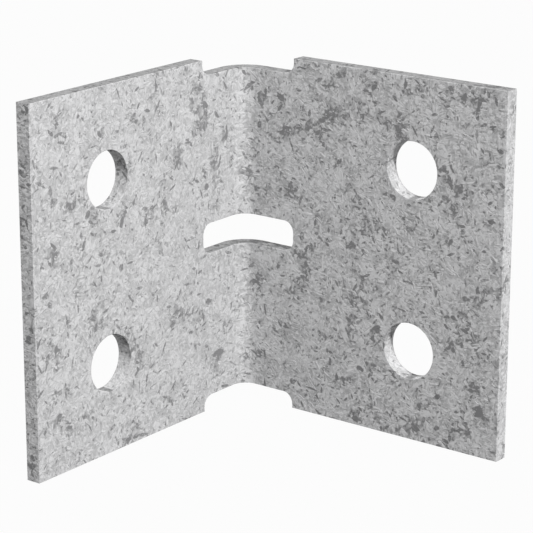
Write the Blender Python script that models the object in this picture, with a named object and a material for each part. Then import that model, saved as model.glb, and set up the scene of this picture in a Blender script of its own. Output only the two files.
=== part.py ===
# Equal-leg angle bracket, punched flat from one galvanised steel sheet and folded once.
# It stands on the lower edges of its legs with the bend upright, as it does on a bench.
# The blank is drawn flat, given its thickness and broken edges, and then folded round the bend,
# so the holes, the relief slot and the two half-slot notches keep their punched shapes.
# Metres, +Z up. The origin is the middle of the bounding box's base.
# One leg runs along +X with its outer face towards +Y, and the other runs along -Y
# with its outer face towards -X.
from math import cos, pi, radians, sin

import bmesh
import bpy

# Driving dimensions of the folded bracket, in metres
HEIGHT = 0.070  # along the bend
LEG_LENGTH = 0.0625  # from the outer corner to the free edge, on both legs
SHEET_THICKNESS = 0.003
BEND_RADIUS = 0.003  # on the inside of the bend
HOLE_DIAMETER = 0.011  # clearance for an M10 bolt
HOLE_FROM_FREE_EDGE = 0.020  # hole centre to the leg's free edge
HOLE_SPACING = 0.035  # between the two holes of a leg, up the leg
RELIEF_REACH = 0.01525  # from the outer corner to the end of a slot or notch
SLOT_WIDTH = 0.006  # up the bend, at mid height
NOTCH_DEPTH = 0.003  # at both ends of the bend
RELIEF_CORNER = 0.0022  # corner radius of the slot and the notches
EDGE_BREAK = 0.00025  # radius that the zinc leaves on every punched and sheared edge

# How finely the round shapes are cut into flats
HOLE_STEPS = 48
CORNER_STEPS = 6
BEND_STEPS = 16
EDGE_STEPS = 2
SHARP_DEG = 20  # flats that meet at more than this keep a crisp line between them

# Galvanised finish
ZINC_COLOUR = (0.50, 0.50, 0.51, 1.0)
ZINC_ROUGHNESS = 0.55
ZINC_METALLIC = 0.6

QUARTER_TURN = pi / 2
MID_SHEET = 0.5  # the layer that keeps its length in the fold, as a share of the thickness

# Sizes of the flat blank, where "along" is measured from the middle of the bend
setback = BEND_RADIUS + SHEET_THICKNESS  # outer corner to where a leg starts to be flat
bend_length = QUARTER_TURN * (BEND_RADIUS + MID_SHEET * SHEET_THICKNESS)
half_bend = bend_length / 2


def along_blank(reach):
    # Turns a distance from the folded bracket's outer corner into one along the flat blank.
    return reach - setback + half_bend


blank_half = along_blank(LEG_LENGTH)
relief_half = along_blank(RELIEF_REACH)
hole_along = along_blank(LEG_LENGTH - HOLE_FROM_FREE_EDGE)
mid_height = HEIGHT / 2


def arc(along, up, radius, start_deg, end_deg, steps):
    # Points of a circular arc, both ends included.
    turns = [radians(start_deg + (end_deg - start_deg) * i / steps) for i in range(steps + 1)]
    return [(along + radius * cos(turn), up + radius * sin(turn)) for turn in turns]


def blank_outline(inset):
    # The blank's edge with a half-slot notch at each end of the bend line.
    # A positive inset moves every line into the metal.
    end = blank_half - inset
    reach = relief_half + inset
    corner = min(RELIEF_CORNER, NOTCH_DEPTH)
    centre_along = relief_half - corner
    centre_up = NOTCH_DEPTH - corner
    radius = corner + inset
    lower_notch = [(-reach, inset)]
    lower_notch += arc(-centre_along, centre_up, radius, 180, 90, CORNER_STEPS)
    lower_notch += arc(centre_along, centre_up, radius, 90, 0, CORNER_STEPS)
    lower_notch += [(reach, inset)]
    lower = [(-end, inset)] + lower_notch + [(end, inset)]
    upper = [(along, HEIGHT - up) for along, up in reversed(lower)]
    return lower + upper


def slot_outline(inset):
    # The rounded relief slot across the middle of the bend.
    corner = min(RELIEF_CORNER, SLOT_WIDTH / 2)
    side = relief_half - corner
    rise = SLOT_WIDTH / 2 - corner
    radius = corner + inset
    points = []
    for along, up, start_deg in ((side, rise, 0), (-side, rise, 90), (-side, -rise, 180), (side, -rise, 270)):
        points += arc(along, mid_height + up, radius, start_deg, start_deg + 90, CORNER_STEPS)
    return points


def hole_outline(along, up, inset):
    # One bolt hole.
    return arc(along, up, HOLE_DIAMETER / 2 + inset, 0, 360, HOLE_STEPS)[:-1]


def outlines(inset):
    # Every closed line of the blank, always in the same order and with the same points.
    loops = [blank_outline(inset), slot_outline(inset)]
    for along in (-hole_along, hole_along):
        for up in (mid_height - HOLE_SPACING / 2, mid_height + HOLE_SPACING / 2):
            loops.append(hole_outline(along, up, inset))
    return loops


def edge_levels():
    # Depths through the sheet from its outer face, each with the inset of the rounded edge there.
    turns = [QUARTER_TURN * i / EDGE_STEPS for i in range(EDGE_STEPS + 1)]
    outer = [(EDGE_BREAK * (1 - cos(turn)), EDGE_BREAK * (1 - sin(turn))) for turn in turns]
    inner = [(SHEET_THICKNESS - depth, inset) for depth, inset in reversed(outer)]
    return outer + inner


def add_loop(bm, points, depth):
    # A ring of vertices at one depth. In the blank, X is along, Y is depth and Z is up.
    return [bm.verts.new((along, depth, up)) for along, up in points]


def join_loops(bm, lower, upper):
    # A wall of quads between two rings with the same number of points.
    count = len(lower)
    for i in range(count):
        j = (i + 1) % count
        bm.faces.new((lower[i], lower[j], upper[j], upper[i]))


def fill_face(bm, loops, normal):
    # One flat side of the sheet, from its outline and the holes in it.
    edges = [bm.edges.get((ring[i], ring[i - 1])) for ring in loops for i in range(len(ring))]
    bmesh.ops.triangle_fill(bm, use_beauty=True, edges=edges, normal=normal)


def flat_blank():
    # The punched sheet before it is folded, with both faces and every edge closed.
    bm = bmesh.new()
    rings = [[add_loop(bm, loop, depth) for loop in outlines(inset)] for depth, inset in edge_levels()]
    for lower, upper in zip(rings, rings[1:]):
        for ring_below, ring_above in zip(lower, upper):
            join_loops(bm, ring_below, ring_above)
    fill_face(bm, rings[0], (0, -1, 0))
    fill_face(bm, rings[-1], (0, 1, 0))
    return bm


def score_bend(bm):
    # Lines across the blank where the fold turns from one flat to the next.
    for i in range(BEND_STEPS + 1):
        along = -half_bend + bend_length * i / BEND_STEPS
        geometry = bm.verts[:] + bm.edges[:] + bm.faces[:]
        bmesh.ops.bisect_plane(
            bm, geom=geometry, dist=1e-7, plane_co=(along, 0, 0), plane_no=(1, 0, 0)
        )


def folded(point):
    # Where a point of the flat blank goes when the sheet is folded and stood in its own frame.
    along, depth, up = point
    if along < -half_bend:
        x, y = depth, along + half_bend - setback
    elif along > half_bend:
        x, y = along - half_bend + setback, -depth
    else:
        turn = QUARTER_TURN * (along + half_bend) / bend_length
        radius = setback - depth
        x, y = setback - radius * cos(turn), radius * sin(turn) - setback
    return x - LEG_LENGTH / 2, y + LEG_LENGTH / 2, up


def face_outwards(bm):
    # Every face turned to look out of the metal.
    bmesh.ops.recalc_face_normals(bm, faces=bm.faces[:])
    if bm.calc_volume(signed=True) < 0:
        bmesh.ops.reverse_faces(bm, faces=bm.faces[:])


def zinc_material():
    # Dull spangled zinc.
    material = bpy.data.materials.new("galvanised_zinc")
    material.use_nodes = True
    shader = material.node_tree.nodes["Principled BSDF"]
    shader.inputs["Base Color"].default_value = ZINC_COLOUR
    shader.inputs["Roughness"].default_value = ZINC_ROUGHNESS
    shader.inputs["Metallic"].default_value = ZINC_METALLIC
    return material


def build_bracket():
    # The whole bracket is one piece of sheet.
    bm = flat_blank()
    score_bend(bm)
    for vertex in bm.verts:
        vertex.co = folded(vertex.co)
    face_outwards(bm)
    mesh = bpy.data.meshes.new("angle_bracket")
    bm.to_mesh(mesh)
    bm.free()
    mesh.shade_smooth()
    mesh.set_sharp_from_angle(angle=radians(SHARP_DEG))
    mesh.materials.append(zinc_material())
    bracket = bpy.data.objects.new("angle_bracket", mesh)
    bpy.context.scene.collection.objects.link(bracket)
    return bracket


for leftover in list(bpy.data.objects):
    bpy.data.objects.remove(leftover)
build_bracket()
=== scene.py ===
from math import cos, pi, radians, sin

import bmesh
import bpy
from mathutils import Matrix, Vector


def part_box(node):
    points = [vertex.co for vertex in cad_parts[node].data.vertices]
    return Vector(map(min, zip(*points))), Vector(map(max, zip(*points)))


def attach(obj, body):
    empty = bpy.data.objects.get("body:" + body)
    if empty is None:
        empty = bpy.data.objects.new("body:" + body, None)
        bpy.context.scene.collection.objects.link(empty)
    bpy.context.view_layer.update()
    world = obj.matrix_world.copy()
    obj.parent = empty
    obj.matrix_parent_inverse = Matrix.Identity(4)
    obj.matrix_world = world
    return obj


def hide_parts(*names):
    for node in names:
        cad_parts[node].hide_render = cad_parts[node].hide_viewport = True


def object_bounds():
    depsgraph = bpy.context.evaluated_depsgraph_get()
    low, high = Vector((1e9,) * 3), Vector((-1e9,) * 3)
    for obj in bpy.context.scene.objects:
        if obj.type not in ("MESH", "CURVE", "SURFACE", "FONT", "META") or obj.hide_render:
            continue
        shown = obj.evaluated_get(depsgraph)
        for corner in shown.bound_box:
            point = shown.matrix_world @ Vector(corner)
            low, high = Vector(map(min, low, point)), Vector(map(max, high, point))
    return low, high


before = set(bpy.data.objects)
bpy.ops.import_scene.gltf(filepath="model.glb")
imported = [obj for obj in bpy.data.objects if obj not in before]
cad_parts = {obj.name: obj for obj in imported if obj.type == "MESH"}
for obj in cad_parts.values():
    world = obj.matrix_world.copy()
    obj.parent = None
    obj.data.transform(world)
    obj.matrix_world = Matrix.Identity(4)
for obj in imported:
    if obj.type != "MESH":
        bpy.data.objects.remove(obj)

# Folded angle bracket in hot-dip galvanised sheet, standing on the lower edges of its legs.
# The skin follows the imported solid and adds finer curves, and the zinc is a node material.
# Metres and +Z up. One leg runs along +X, the other along -Y, and the fold is upright.

cadLow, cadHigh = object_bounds()
mm = 0.001

# the bracket's shape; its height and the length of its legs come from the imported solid
bracketSizes = {
    "thickness": 3.0 * mm,
    "innerRadius": 3.0 * mm,  # inside of the fold
    "holeDiameter": 11.0 * mm,
    "holeFromFreeEdge": 20.0 * mm,  # to the hole's middle
    "holeSpacing": 35.0 * mm,
    "reliefReach": 15.25 * mm,  # outer corner to the end of the slot and of the notches
    "slotWidth": 6.0 * mm,
    "notchDepth": 3.0 * mm,
    "reliefCorner": 2.2 * mm,
    "edgeRadius": 0.08 * mm,  # what the zinc leaves on a punched edge
    "holeSteps": 96,
    "cornerSteps": 12,
    "foldSteps": 32,
    "edgeSteps": 4,
    "crispDeg": 30,  # faces that meet at more than this keep a crisp line
}


def arcPoints(along, up, radius, startDeg, endDeg, steps):
    turns = [radians(startDeg + (endDeg - startDeg) * i / steps) for i in range(steps + 1)]
    return [(along + radius * cos(turn), up + radius * sin(turn)) for turn in turns]


def sheetOutlines(size, inset):
    # every closed line of the flat blank; inset moves each one into the metal
    end = size["blankHalf"] - inset
    reach = size["reliefHalf"] + inset
    corner = size["reliefCorner"]
    radius = corner + inset
    steps = size["cornerSteps"]

    side = size["reliefHalf"] - corner
    notchUp = size["notchDepth"] - corner
    lower = [(-end, inset), (-reach, inset)]
    lower += arcPoints(-side, notchUp, radius, 180, 90, steps)
    lower += arcPoints(side, notchUp, radius, 90, 0, steps)
    lower += [(reach, inset), (end, inset)]
    outline = lower + [(along, size["height"] - up) for along, up in reversed(lower)]

    middle = size["height"] / 2
    rise = size["slotWidth"] / 2 - corner
    corners = ((side, rise), (-side, rise), (-side, -rise), (side, -rise))
    slot = []
    for number, (along, up) in enumerate(corners):
        startDeg = 90 * number
        slot += arcPoints(along, middle + up, radius, startDeg, startDeg + 90, steps)

    loops = [outline, slot]
    holeRadius = size["holeDiameter"] / 2 + inset
    halfSpacing = size["holeSpacing"] / 2
    for along in (-size["holeAlong"], size["holeAlong"]):
        for up in (middle - halfSpacing, middle + halfSpacing):
            hole = arcPoints(along, up, holeRadius, 0, 360, size["holeSteps"])
            loops.append(hole[:-1])  # the last point lies on the first
    return loops


def flatBlank(size):
    # rings of points from the outer face to the inner one, with a round on every edge
    radius = size["edgeRadius"]
    turns = [pi / 2 * i / size["edgeSteps"] for i in range(size["edgeSteps"] + 1)]
    levels = [(radius * (1 - cos(turn)), radius * (1 - sin(turn))) for turn in turns]
    levels += [(size["thickness"] - depth, inset) for depth, inset in reversed(levels)]

    bm = bmesh.new()
    rings = []
    for depth, inset in levels:
        loops = sheetOutlines(size, inset)
        rings.append([[bm.verts.new((along, depth, up)) for along, up in loop] for loop in loops])
    for lower, upper in zip(rings, rings[1:]):
        for a, b in zip(lower, upper):
            for i in range(len(a)):
                bm.faces.new((a[i - 1], a[i], b[i], b[i - 1]))
    for ringSet, facing in ((rings[0], -1), (rings[-1], 1)):
        edges = [bm.edges.get((ring[i - 1], ring[i])) for ring in ringSet for i in range(len(ring))]
        bmesh.ops.triangle_fill(bm, use_beauty=True, edges=edges, normal=(0, facing, 0))
    return bm


def foldPoint(size, point):
    # where a point of the flat blank lies once the sheet is folded
    along, depth, up = point
    half, back = size["foldLength"] / 2, size["setback"]
    if along < -half:
        x, y = depth, along + half - back
    elif along > half:
        x, y = along - half + back, -depth
    else:
        turn = pi / 2 * (along + half) / size["foldLength"]
        x = back - (back - depth) * cos(turn)
        y = (back - depth) * sin(turn) - back
    return size["corner"] + Vector((x, y, up))


def makeBracket():
    low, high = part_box("angle_bracket")
    size = dict(bracketSizes)
    size["height"] = high.z - low.z
    size["corner"] = Vector((low.x, high.y, low.z))
    size["setback"] = size["innerRadius"] + size["thickness"]
    size["foldLength"] = pi / 2 * (size["innerRadius"] + size["thickness"] / 2)
    flatten = size["foldLength"] / 2 - size["setback"]
    size["blankHalf"] = high.x - low.x + flatten
    size["reliefHalf"] = size["reliefReach"] + flatten
    size["holeAlong"] = size["blankHalf"] - size["holeFromFreeEdge"]

    bm = flatBlank(size)
    nearEnough = 1e-7  # a point this close to a line of the fold lies on it
    for i in range(size["foldSteps"] + 1):
        line = (size["foldLength"] * (i / size["foldSteps"] - 0.5), 0, 0)
        everything = bm.verts[:] + bm.edges[:] + bm.faces[:]
        bmesh.ops.bisect_plane(
            bm, geom=everything, dist=nearEnough, plane_co=line, plane_no=(1, 0, 0)
        )
    for vertex in bm.verts:
        vertex.co = foldPoint(size, vertex.co)
    bmesh.ops.recalc_face_normals(bm, faces=bm.faces[:])
    if bm.calc_volume(signed=True) < 0:
        bmesh.ops.reverse_faces(bm, faces=bm.faces[:])

    mesh = bpy.data.meshes.new("bracket")
    bm.to_mesh(mesh)
    bm.free()
    mesh.shade_smooth()
    mesh.set_sharp_from_angle(angle=radians(size["crispDeg"]))
    bracket = bpy.data.objects.new("bracket", mesh)
    bpy.context.scene.collection.objects.link(bracket)
    even = bracket.modifiers.new("flatsStayFlat", "WEIGHTED_NORMAL")
    even.weight = 100  # the large faces decide the shading along their edges
    even.keep_sharp = True
    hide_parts("angle_bracket")
    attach(bracket, "root")
    return bracket


def plug(tree, node, inputs):
    # another node's socket is linked, and anything else is the input's own value
    for name, value in inputs.items():
        if isinstance(value, bpy.types.NodeSocket):
            tree.links.new(value, node.inputs[name])
        else:
            node.inputs[name].default_value = value


def addNode(tree, kind, inputs={}, **settings):
    node = tree.nodes.new(kind)
    for name, value in settings.items():
        setattr(node, name, value)
    plug(tree, node, inputs)
    return node


def doMath(tree, operation, a, b=0.0, clamp=False):
    node = addNode(tree, "ShaderNodeMath", {0: a, 1: b}, operation=operation, use_clamp=clamp)
    return node.outputs[0]


def doVector(tree, operation, a, b):
    second = "Scale" if operation == "SCALE" else 1
    node = addNode(tree, "ShaderNodeVectorMath", {0: a, second: b}, operation=operation)
    return node.outputs[0]


def splitVector(tree, vector):
    return addNode(tree, "ShaderNodeSeparateXYZ", {0: vector}).outputs


def ramp(tree, value, start, end, low=0.0, high=1.0):
    # runs smoothly from low at the start to high at the end
    inputs = {"Value": value, "From Min": start, "From Max": end, "To Min": low, "To Max": high}
    node = addNode(tree, "ShaderNodeMapRange", inputs, interpolation_type="SMOOTHSTEP")
    return node.outputs["Result"]


def mixed(tree, kind, amount, a, b):
    node = addNode(tree, "ShaderNodeMix", {"Factor": amount, "A": a, "B": b}, data_type=kind)
    return node.outputs["Result"]


def noise(tree, where, scale, detail, roughness, output="Fac"):
    inputs = {"Vector": where, "Scale": scale, "Detail": detail, "Roughness": roughness}
    return addNode(tree, "ShaderNodeTexNoise", inputs).outputs[output]


# Galvanised zinc: pale frozen leaves lie over each other, and the darker ground shows between them.
# Tones run from 0, the dark colour, to 1, the pale one. Each noise has its scale, which is per mm,
# its detail and its roughness.
zincLook = {
    "pale": (0.640, 0.640, 0.645, 1.0),
    "dark": (0.222, 0.222, 0.225, 1.0),
    "metallic": 0.34,
    "darkMetallic": 0.0,
    "roughness": 0.84,
    "darkRoughness": 0.86,
    "specular": 0.10,

    # painted in this order: size of a cell in mm; half the thickness, length and width of its
    # leaf in cells; share of the cells that hold one; how dark it is, where none is a pale leaf
    "leaves": {
        "large": (2.7, (0.37, 0.90, 0.86), 1.00, None),
        "middle": (1.6, (0.37, 0.90, 0.86), 1.00, None),
        "small": (1.05, (0.35, 0.86, 0.82), 1.00, None),
        "patches": (4.6, (0.20, 0.42, 0.38), 0.34, 0.30),
        "tiny": (0.70, (0.31, 0.76, 0.72), 0.45, None),
        "longDarts": (2.3, (0.12, 0.70, 0.36), 0.62, 0.80),
        "shortDarts": (1.35, (0.16, 0.72, 0.34), 0.56, 0.70),
        "specks": (0.80, (0.20, 0.66, 0.36), 0.48, 0.50),
    },
    "layerShift": (23.0, -11.0, 7.0),  # mm from one layer's pattern to that of the next
    "leafTones": (0.77, 0.93),  # the darkest pale leaf and the palest
    "faintestDart": 0.4,  # as a share of the darkest one
    "leafEdge": (1.10, 0.90),  # where a leaf fades in, with its outline at 1
    "rim": 0.12,  # how much darker a leaf is along its outline
    "rimInside": (0.62, 0.95),
    "rimOutside": (1.10, 1.00),
    "linesPerMm": (2.1, 0.40, 0.40),  # the fine lines along a leaf
    "lineNoise": (1.0, 1.0, 0.5),
    "linesApart": 9.0,  # gives each leaf lines from another part of the noise
    "feather": 1.55,  # how far the lines change the tone
    "crease": 0.10,  # a darker line between two of them
    "creaseWidth": 0.05,
    "relief": 0.13,  # mm between the ridges along the leaves and the furrows
    "reliefOf": "middle",
    "wobble": 0.15,  # mm that the leaves bend by
    "wobbleNoise": (0.6, 1.0, 0.5),

    # the zinc froze last where this noise is high: the levels between which the leaves get thinner,
    # and those between which the ground darkens and the darts grow, with their starts and ends
    "crowdNoise": (0.17, 3.0, 0.62),
    "leavesThin": (0.54, 0.69),
    "leafSizes": (1.0, 0.46),
    "groundDarkens": (0.47, 0.69),
    "groundTones": (0.60, 0.22),
    "dartSizes": (0.82, 1.31),

    # drifts of the tone: the noise, half the span of its levels, and how far the tone moves
    "drifts": {
        "streaks": ((1.6, 2.0, 0.6), 0.15, 0.20),
        "cloud": ((0.22, 2.0, 0.5), 0.20, 0.11),
        "grain": ((4.5, 2.0, 0.7), 0.20, 0.06),
    },
    "paintedLightContrasts": (0.92, 1.24),  # painted light: on the leg along Y and on the one along X
    "middleTone": 0.72,  # which the contrasts leave as it is
    "legChange": (0.25, 0.75),  # the Y of the surface's normal, from the one leg to the other
    "levelEdgeShade": 0.54,  # share of the colour left on the level cut edges under their painted shade
    "levelChange": (0.985, 0.997),  # the Z of the normal, from the other faces to those edges
}


def cellsOf(group, where, cell):
    # the way from each cell's middle, turned at random, a random number, and the middle
    scaled = doVector(group, "SCALE", where, doMath(group, "DIVIDE", 1.0, cell))
    cells = addNode(
        group, "ShaderNodeTexVoronoi", {"Vector": scaled, "Scale": 1.0},
        voronoi_dimensions="3D", feature="F1",
    ).outputs
    way = doVector(group, "SUBTRACT", scaled, cells["Position"])
    twoTurns = 4 * pi
    angles = doVector(group, "SCALE", cells["Color"], twoTurns)
    turned = addNode(
        group, "ShaderNodeVectorRotate", {"Vector": way, "Rotation": angles},
        rotation_type="EULER_XYZ",
    )
    chance = addNode(
        group, "ShaderNodeTexWhiteNoise", {"Vector": cells["Position"]}, noise_dimensions="3D"
    )
    return turned.outputs[0], chance.outputs["Value"], cells["Position"]


def leafGroup():
    # each cell holds a flat lens, which the surface cuts into a leaf or a dart
    look = zincLook
    group = bpy.data.node_groups.new("zincLeaves", "ShaderNodeTree")
    kinds = {"Where": "Vector", "Cell": "Float", "Half Sizes": "Vector", "Thinning": "Float"}
    for word, kind in kinds.items():
        group.interface.new_socket(word, in_out="INPUT", socket_type="NodeSocket" + kind)
    for word in ("Fill", "Rim", "Chance", "Feather"):
        group.interface.new_socket(word, in_out="OUTPUT", socket_type="NodeSocketFloat")
    given = group.nodes.new("NodeGroupInput").outputs
    made = group.nodes.new("NodeGroupOutput")

    # how far out a point lies, with the lens's outline at 1
    way, chance, middle = cellsOf(group, given["Where"], given["Cell"])
    halfSizes = doVector(group, "SCALE", given["Half Sizes"], given["Thinning"])
    x, y, z = splitVector(group, doVector(group, "DIVIDE", way, halfSizes))
    squares = doMath(group, "ADD", doMath(group, "MULTIPLY", y, y), doMath(group, "MULTIPLY", z, z))
    out = doMath(group, "ADD", doMath(group, "ABSOLUTE", x), squares)
    inside = ramp(group, out, *look["rimInside"])
    outside = ramp(group, out, *look["rimOutside"])

    inLeaf = doVector(group, "SCALE", way, given["Cell"])
    lines = doVector(group, "MULTIPLY", inLeaf, look["linesPerMm"])
    lines = doVector(group, "ADD", lines, doVector(group, "SCALE", middle, look["linesApart"]))
    shade = doMath(group, "SUBTRACT", noise(group, lines, *look["lineNoise"]), 0.5)
    aside = doMath(group, "ABSOLUTE", shade)
    crease = ramp(group, aside, look["creaseWidth"], 0.0, 0.0, look["crease"])
    feather = doMath(group, "MULTIPLY", shade, look["feather"])
    plug(group, made, {
        "Fill": ramp(group, out, *look["leafEdge"]),
        "Rim": doMath(group, "MULTIPLY", inside, outside),
        "Chance": chance,
        "Feather": doMath(group, "SUBTRACT", feather, crease),
    })
    return group


def leafTone(tree, leaf, tone, share, depth):
    # a pale leaf covers what lies below it, and a dark one dims it
    look = zincLook
    held = doMath(tree, "MULTIPLY", leaf["Fill"], doMath(tree, "LESS_THAN", leaf["Chance"], share))
    if depth is None:
        own = ramp(tree, leaf["Chance"], 0.0, share, *look["leafTones"])
        rim = doMath(tree, "MULTIPLY", leaf["Rim"], look["rim"])
        own = doMath(tree, "ADD", own, doMath(tree, "SUBTRACT", leaf["Feather"], rim))
        return mixed(tree, "FLOAT", held, tone, own)
    own = ramp(tree, leaf["Chance"], 0.0, share, depth, depth * look["faintestDart"])
    return doMath(tree, "SUBTRACT", tone, doMath(tree, "MULTIPLY", held, own))


def drifted(tree, tone, where, name):
    settings, span, height = zincLook["drifts"][name]
    wave = noise(tree, where, *settings)
    return doMath(tree, "ADD", tone, ramp(tree, wave, 0.5 - span, 0.5 + span, -height, height))


def zincMaterial():
    look = zincLook
    material = bpy.data.materials.new("galvanisedZinc")
    material.use_nodes = True
    tree = material.node_tree

    coordinates = addNode(tree, "ShaderNodeTexCoord").outputs
    inMm = doVector(tree, "SCALE", coordinates["Object"], 1 / mm)
    wobble = noise(tree, inMm, *look["wobbleNoise"], output="Color")
    wobble = doVector(tree, "SUBTRACT", wobble, (0.5, 0.5, 0.5))
    where = doVector(tree, "ADD", inMm, doVector(tree, "SCALE", wobble, look["wobble"]))

    # where the zinc froze last, the leaves are thinner, the darts larger and the ground darker
    crowd = noise(tree, inMm, *look["crowdNoise"])
    thinning = ramp(tree, crowd, *look["leavesThin"], *look["leafSizes"])
    swelling = ramp(tree, crowd, *look["groundDarkens"], *look["dartSizes"])
    tone = ramp(tree, crowd, *look["groundDarkens"], *look["groundTones"])
    tone = drifted(tree, tone, where, "streaks")

    group = leafGroup()
    for number, (name, (cell, halfSizes, share, depth)) in enumerate(look["leaves"].items()):
        shift = [step * number for step in look["layerShift"]]
        leaf = addNode(tree, "ShaderNodeGroup", node_tree=group)
        plug(tree, leaf, {
            "Where": doVector(tree, "ADD", where, shift),
            "Cell": cell,
            "Half Sizes": halfSizes,
            "Thinning": thinning if depth is None else swelling,
        })
        tone = leafTone(tree, leaf.outputs, tone, share, depth)
        if name == look["reliefOf"]:
            ridges = doMath(tree, "MULTIPLY", leaf.outputs["Fill"], leaf.outputs["Feather"])
    for name in ("cloud", "grain"):
        tone = drifted(tree, tone, inMm, name)

    # painted light: the pattern is weaker on the left leg and stronger on the right one, chosen by
    # which way the face points, standing in for a sheen of light on the left leg and light grazing
    # the right one
    normal = splitVector(tree, coordinates["Normal"])
    sideways = doMath(tree, "ABSOLUTE", normal["Y"])
    paintedLightContrast = ramp(tree, sideways, *look["legChange"], *look["paintedLightContrasts"])
    apart = doMath(tree, "SUBTRACT", tone, look["middleTone"])
    apart = doMath(tree, "MULTIPLY", apart, paintedLightContrast)
    tone = doMath(tree, "ADD", apart, look["middleTone"], clamp=True)

    # painted shade: the cut edges that lie level, above and below, are darkened by which way they
    # face, against the light from above
    upright = doMath(tree, "ABSOLUTE", normal["Z"])
    paintedLevelShade = ramp(tree, upright, *look["levelChange"], 1.0, look["levelEdgeShade"])
    colour = mixed(tree, "RGBA", tone, look["dark"], look["pale"])
    relief = addNode(tree, "ShaderNodeBump", {"Height": ridges, "Distance": look["relief"] * mm})
    plug(tree, tree.nodes["Principled BSDF"], {
        "Base Color": doVector(tree, "SCALE", colour, paintedLevelShade),
        "Metallic": ramp(tree, tone, 0.0, 1.0, look["darkMetallic"], look["metallic"]),
        "Roughness": ramp(tree, tone, 0.0, 1.0, look["darkRoughness"], look["roughness"]),
        "Specular IOR Level": look["specular"],
        "Normal": relief.outputs["Normal"],
    })
    return material


studio = {
    "white": 1.0,  # what the background shows
    "ambient": 0.627,  # what the world gives the object
    "floorSize": 4.0,
    "floorGap": 0.02 * mm,  # keeps the floor clear of the bracket's lower edges
    "floorColour": (0.10, 0.10, 0.10, 1.0),
    "shadow": 0.03,  # how much of the floor is real light, and so takes the shadow
    # azimuth from the front, towards the right, and elevation in degrees; metres; watts
    "keyLamp": {"azimuth": 71, "elevation": 41, "away": 1.3, "size": 0.12, "power": 18.1},
    "backLamp": {"azimuth": 232, "elevation": 3, "away": 0.9, "size": 0.25, "power": 3.5},
}


def seenByCamera(tree):
    # 1 for what the camera sees straight on, and for what shows in metal or through glass
    path = addNode(tree, "ShaderNodeLightPath").outputs
    first = doMath(tree, "MAXIMUM", path["Is Camera Ray"], path["Is Glossy Ray"])
    return doMath(tree, "MAXIMUM", first, path["Is Transmission Ray"])


def makeWorld():
    world = bpy.data.worlds.new("studio")
    bpy.context.scene.world = world
    world.use_nodes = True
    tree = world.node_tree
    level = ramp(tree, seenByCamera(tree), 0.0, 1.0, studio["ambient"], studio["white"])
    plug(tree, tree.nodes["Background"], {"Color": (1.0, 1.0, 1.0, 1.0), "Strength": level})


def makeFloor():
    half = studio["floorSize"] / 2
    corners = [(-half, -half, 0), (half, -half, 0), (half, half, 0), (-half, half, 0)]
    mesh = bpy.data.meshes.new("floor")
    mesh.from_pydata(corners, [], [(0, 1, 2, 3)])
    floor = bpy.data.objects.new("floor", mesh)
    floor.location.z = cadLow.z - studio["floorGap"]
    bpy.context.scene.collection.objects.link(floor)

    material = bpy.data.materials.new("paleFloor")
    material.use_nodes = True
    tree = material.node_tree
    tree.nodes.remove(tree.nodes["Principled BSDF"])
    matt = addNode(tree, "ShaderNodeBsdfDiffuse", {"Color": studio["floorColour"]})
    glow = addNode(tree, "ShaderNodeEmission", {"Strength": studio["white"]})
    amount = doMath(tree, "MULTIPLY", seenByCamera(tree), 1 - studio["shadow"])
    above = addNode(
        tree, "ShaderNodeMixShader", {0: amount, 1: matt.outputs[0], 2: glow.outputs[0]}
    )
    # the floor is open for a look from underneath
    behind = addNode(tree, "ShaderNodeNewGeometry").outputs["Backfacing"]
    clear = addNode(tree, "ShaderNodeBsdfTransparent")
    surface = addNode(
        tree, "ShaderNodeMixShader", {0: behind, 1: above.outputs[0], 2: clear.outputs[0]}
    )
    plug(tree, tree.nodes["Material Output"], {"Surface": surface.outputs[0]})
    mesh.materials.append(material)


def directionTo(azimuth, elevation):
    turn, rise = radians(azimuth), radians(elevation)
    return Vector((sin(turn) * cos(rise), -cos(turn) * cos(rise), sin(rise)))


def makeLamp(name, azimuth, elevation, away, size, power):
    data = bpy.data.lights.new(name, "AREA")
    data.shape = "DISK"
    data.size = size
    data.energy = power
    lamp = bpy.data.objects.new(name, data)
    towards = directionTo(azimuth, elevation)
    lamp.location = Vector((0.0, 0.0, (cadLow.z + cadHigh.z) / 2)) + towards * away
    lamp.rotation_euler = towards.to_track_quat("Z", "Y").to_euler()
    bpy.context.scene.collection.objects.link(lamp)


# the camera looks at a point beside and above the foot of the outer corner; degrees
cameraPlace = {
    "azimuth": 37.552,
    "elevation": 16.684,
    "roll": 0.092,
    "distance": 446.81 * mm,
    "sideways": 5.177 * mm,
    "height": 25.592 * mm,
    "lens": 151.55,  # for a sensor of this width
    "sensor": 36.0,
    "clipStart": 0.01,
}


def makeCamera():
    place = cameraPlace
    turn, lean = radians(place["azimuth"]), radians(place["roll"])
    back = directionTo(place["azimuth"], place["elevation"])
    right = Vector((cos(turn), sin(turn), 0.0))
    up = back.cross(right)
    corner = Vector((cadLow.x, cadHigh.y, cadLow.z))
    aim = corner + right * place["sideways"] + Vector((0.0, 0.0, place["height"]))
    tiltedRight = right * cos(lean) + up * sin(lean)
    tiltedUp = up * cos(lean) - right * sin(lean)
    turnTo = Matrix((tiltedRight, tiltedUp, back)).transposed().to_4x4()

    data = bpy.data.cameras.new("camera")
    data.lens = place["lens"]
    data.sensor_width = place["sensor"]
    data.clip_start = place["clipStart"]
    camera = bpy.data.objects.new("camera", data)
    camera.matrix_world = Matrix.Translation(aim + back * place["distance"]) @ turnTo
    bpy.context.scene.collection.objects.link(camera)
    bpy.context.scene.camera = camera


print("folding the sheet")
bracket = makeBracket()
print("laying on the zinc")
bracket.data.materials.append(zincMaterial())
print("setting up the floor, lamps and camera")
makeWorld()
makeFloor()
for lampName in ("keyLamp", "backLamp"):
    makeLamp(lampName, **studio[lampName])
makeCamera()
bpy.context.scene.view_settings.view_transform = "Standard"

print("done")
